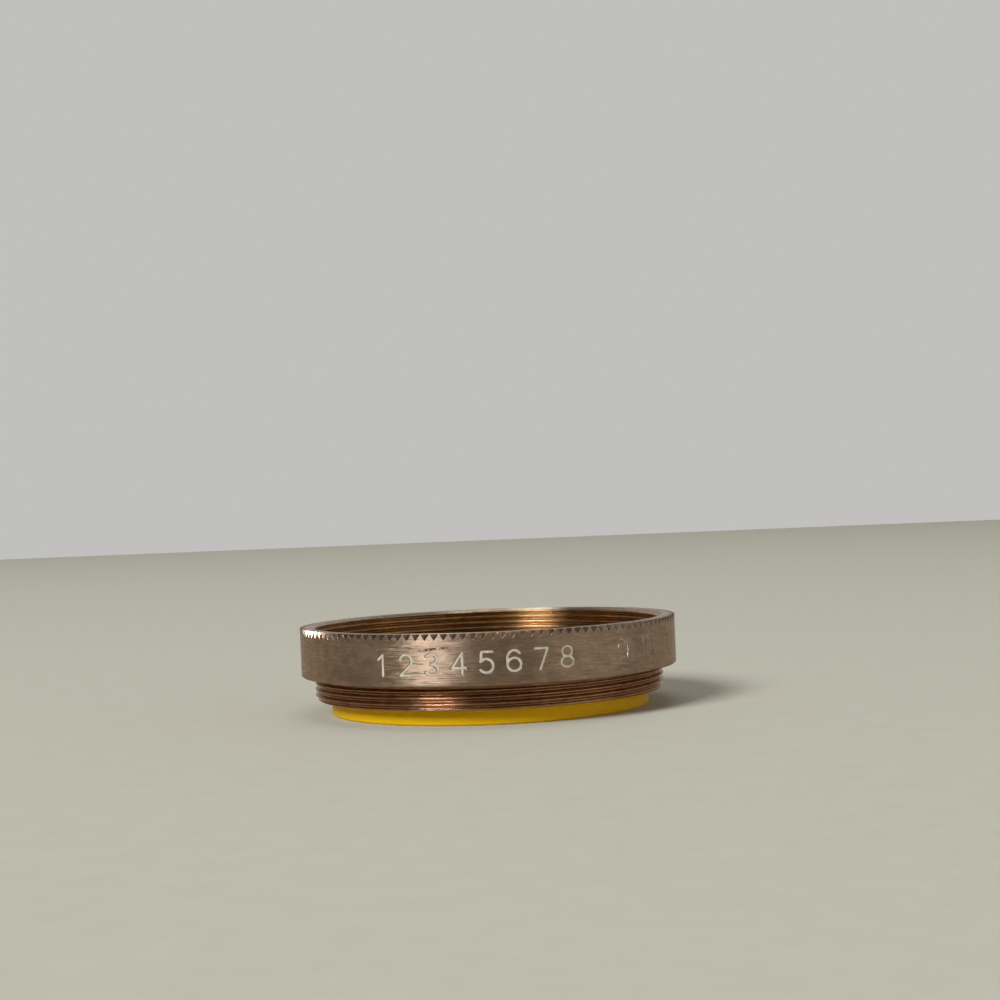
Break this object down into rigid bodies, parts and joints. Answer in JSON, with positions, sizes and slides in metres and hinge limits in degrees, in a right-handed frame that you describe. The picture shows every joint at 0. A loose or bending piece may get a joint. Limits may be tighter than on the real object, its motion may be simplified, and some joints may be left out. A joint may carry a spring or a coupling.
{
  "type": "camera lens filter",
  "caption": "Round screw-in camera lens filter: serrated metal ring with a front socket and a rear threaded spigot, holding an amber glass disc.",
  "frame": {"origin": "centre of the rear face of the glass, which is the lowest face and the one the filter stands on", "axes": "+Z along the optical axis, from the rear spigot that enters the lens to the front socket; X and Y are equal round the axis"},
  "size_m": [0.0318, 0.0318, 0.0074],
  "materials": {
    "ring_metal": "fine turned surface, worn warm grey anodising",
    "amber_glass": "polished, dyed in the mass",
    "retainer_metal": "satin, dark brown anodising"
  },
  "bodies": {
    "root": {"filter_ring": "ring_metal", "filter_glass": "amber_glass", "retaining_ring": "retainer_metal"}
  },
  "joints": []
}
